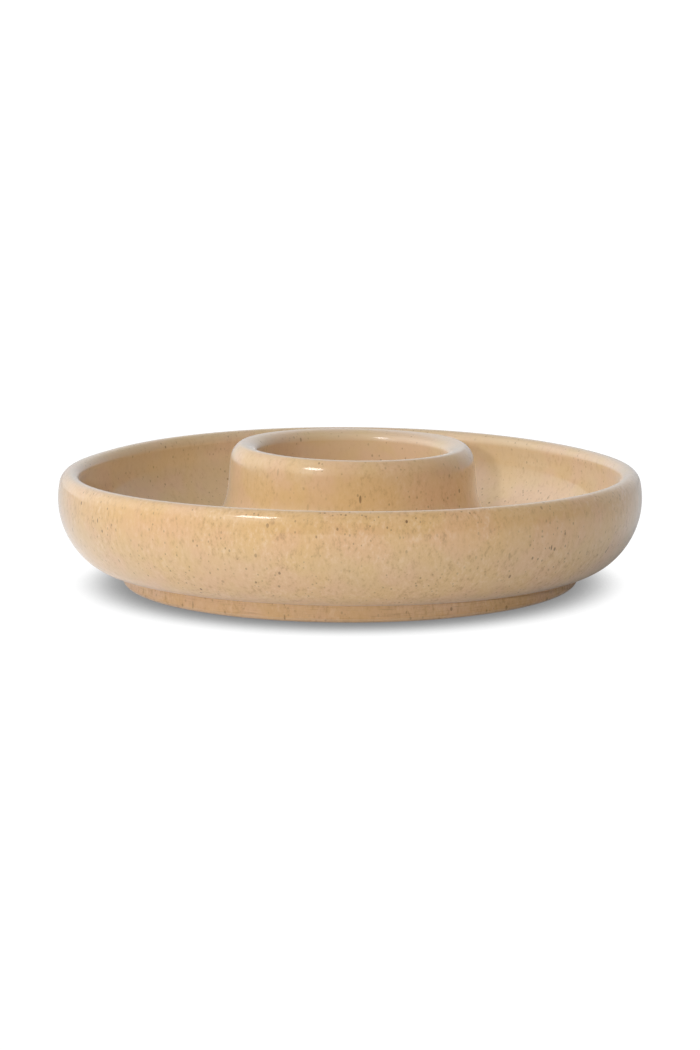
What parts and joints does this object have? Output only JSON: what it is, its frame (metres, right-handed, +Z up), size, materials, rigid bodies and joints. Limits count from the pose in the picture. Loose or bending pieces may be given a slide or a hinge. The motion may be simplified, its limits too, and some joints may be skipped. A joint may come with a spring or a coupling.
{
  "type": "chip and dip server",
  "caption": "Round speckled stoneware serving dish with a deep curved wall, a raised dip cup in the middle and a low foot ring.",
  "frame": {"origin": "centre of the foot ring's contact face, on the table", "axes": "+Z up along the dish's axis; the part is round, so +X and +Y mark no feature"},
  "size_m": [0.3048, 0.3048, 0.0722],
  "materials": {
    "speckled_glaze": "gloss",
    "foot_glaze": "satin"
  },
  "bodies": {
    "root": {"dish": "speckled_glaze", "dip_cup": "speckled_glaze", "foot_ring": "foot_glaze"}
  },
  "joints": []
}
